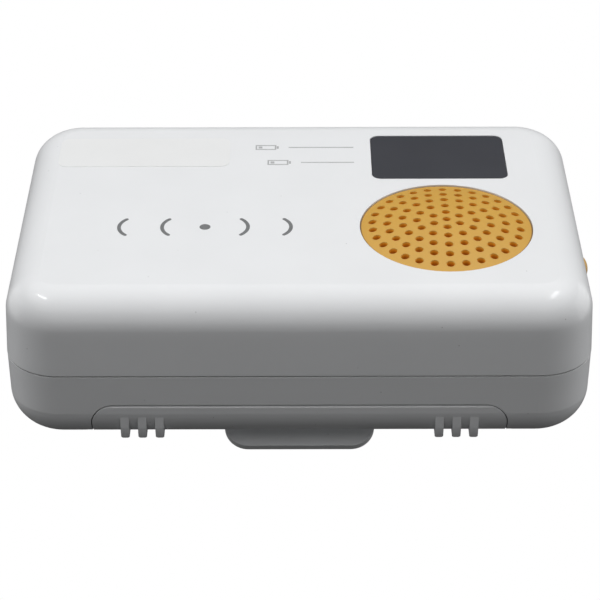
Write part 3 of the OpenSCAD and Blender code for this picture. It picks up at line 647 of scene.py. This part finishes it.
def battery_marks():
    """Beside the window: two low-battery marks, each with a lead line towards a lamp."""
    shapes = []
    for left, y in LEAD_ROWS:
        shapes += battery_mark(left, y)
        shapes.append(bar(left + LEAD_FROM, LEAD_END, y - LINE / 2, y + LINE / 2))
    return shapes


GREY_INK = ink("grey_ink", (0.17, 0.175, 0.178))
PALE_INK = ink("pale_ink", (0.42, 0.425, 0.43))
plates("face_label", [LABEL_OUTLINE], LABEL_T, label_film())
plates("radio_wave_mark", radio_mark(), PRINT_T, GREY_INK)
plates("battery_marks", battery_marks(), PRINT_T, PALE_INK)


# Stage: a white floor and backdrop that show to the camera only. The floor lies low enough for the
# belt clip to open, and a camera under it sees through it.

STAGE_REACH = 3.0
FLOOR_DROP = 15 * MM


def glow_white(name):
    """Plain white that no light or shadow changes."""
    material = bpy.data.materials.new(name)
    material.use_nodes = True
    shader = material.node_tree.nodes["Principled BSDF"]
    shader.inputs["Base Color"].default_value = (0, 0, 0, 1)
    shader.inputs["Specular IOR Level"].default_value = 0
    shader.inputs["Emission Color"].default_value = (1, 1, 1, 1)
    shader.inputs["Emission Strength"].default_value = 1
    return material


def clear_from_below(material):
    """Makes the under side of a surface clear."""
    tree = material.node_tree
    side = tree.nodes.new("ShaderNodeNewGeometry")
    clear = tree.nodes.new("ShaderNodeBsdfTransparent")
    mix = tree.nodes.new("ShaderNodeMixShader")
    tree.links.new(side.outputs["Backfacing"], mix.inputs["Fac"])
    tree.links.new(tree.nodes["Principled BSDF"].outputs["BSDF"], mix.inputs[1])
    tree.links.new(clear.outputs["BSDF"], mix.inputs[2])
    tree.links.new(mix.outputs["Shader"], tree.nodes["Material Output"].inputs["Surface"])


def camera_only(stage_piece):
    """Hides a stage piece from all light and shadow."""
    for ray in ("diffuse", "glossy", "transmission", "volume_scatter", "shadow"):
        setattr(stage_piece, "visible_" + ray, False)


def make_stage():
    ground = glow_white("ground_white")
    clear_from_below(ground)
    bpy.ops.mesh.primitive_plane_add(size=2 * STAGE_REACH, location=(0, 0, -FLOOR_DROP))
    floor = bpy.context.object
    floor.name = "floor"
    floor.data.materials.append(ground)
    camera_only(floor)
    bpy.ops.mesh.primitive_uv_sphere_add(radius=STAGE_REACH, segments=48, ring_count=24)
    backdrop = bpy.context.object
    backdrop.name = "backdrop"
    backdrop.data.materials.append(glow_white("backdrop_white"))
    camera_only(backdrop)


# Light: a large softbox overhead, dim panels in front and at the sides, two lamps that glint on the
# near corners, and a panel under the part, straight behind it as the camera looks

SOFTBOX_HEIGHT = 0.6
SOFTBOX_ANGLE = math.radians(51)
SOFTBOX_RADIANCE = 0.95
FRONT_PLACE = (0, -1.2, 0.4)
FRONT_SIZE = (1.2, 0.5)
FRONT_RADIANCE = 0.42
SIDE_PLACE = (0.8, 0.35, 0.05)
SIDE_SIZE = (0.9, 0.6)
SIDE_PANELS = {"left_panel": (-1, 1.3), "right_panel": (1, 1.7)}
UNDER_DISTANCE = 0.9
UNDER_SIZE = (0.7, 0.7)
UNDER_RADIANCE = 1.5
LAMP_DISTANCE = 0.55
LAMP_FLUX = 0.216
LAMPS = {
    "left_lamp": {"way": (-0.43, 0.04, 0.902), "along": (1, -1.8, 0), "size": (0.19, 0.045)},
    "right_lamp": {"way": (0.37, 0.09, 0.925), "along": (0.25, 1, 0), "size": (0.22, 0.075)},
}
CORNER = Vector((49 * MM, -34 * MM, 37 * MM))
AMBIENT = 0.05


def area_light(name, place, target, size, radiance, along=(1, 0, 0)):
    """An area light of that radiance. One size makes a disc, two a rectangle, its first side along."""
    data = bpy.data.lights.new(name, "AREA")
    data.size = size[0]
    if len(size) > 1:
        data.shape = "RECTANGLE"
        data.size_y = size[1]
        area = size[0] * size[1]
    else:
        data.shape = "DISK"
        area = math.pi * size[0] * size[0] / 4
    data.energy = radiance * math.pi * area
    light = bpy.data.objects.new(name, data)
    light.location = place
    back = (Vector(place) - Vector(target)).normalized()
    across = back.cross(Vector(along)).normalized()
    light.rotation_euler = Matrix((across.cross(back), across, back)).transposed().to_euler()
    light.visible_camera = False
    bpy.context.scene.collection.objects.link(light)
    return light


def make_lamp(name, way, along, size):
    """A lamp that stands off a near corner of the face, on the side that its way points to."""
    corner = Vector((math.copysign(CORNER.x, way[0]), CORNER.y, CORNER.z))
    radiance = LAMP_FLUX / (size[0] * size[1])
    area_light(name, corner + LAMP_DISTANCE * Vector(way), corner, size, radiance, along)


def make_lights():
    middle = (0, 0, 0)
    width = 2 * SOFTBOX_HEIGHT * math.tan(SOFTBOX_ANGLE)
    area_light("softbox", (0, 0, SOFTBOX_HEIGHT), middle, (width,), SOFTBOX_RADIANCE)
    area_light("front_panel", FRONT_PLACE, middle, FRONT_SIZE, FRONT_RADIANCE)
    x, y, z = SIDE_PLACE
    for name, (side, radiance) in SIDE_PANELS.items():
        area_light(name, (side * x, y, z), (0, y, 0), SIDE_SIZE, radiance, along=(0, 1, 0))
    sight = Vector((0, math.cos(CAMERA_PITCH), -math.sin(CAMERA_PITCH)))
    under = area_light("under_panel", UNDER_DISTANCE * sight, middle, UNDER_SIZE, UNDER_RADIANCE)
    under.visible_glossy = False
    for name, lamp in LAMPS.items():
        make_lamp(name, **lamp)


def make_world():
    """A faint even light from all round, and colours shown as they are."""
    world = bpy.data.worlds.new("studio")
    world.use_nodes = True
    background = world.node_tree.nodes["Background"]
    background.inputs["Color"].default_value = (1, 1, 1, 1)
    background.inputs["Strength"].default_value = AMBIENT
    bpy.context.scene.world = world
    bpy.context.scene.view_settings.view_transform = "Standard"


make_stage()
make_lights()
make_world()
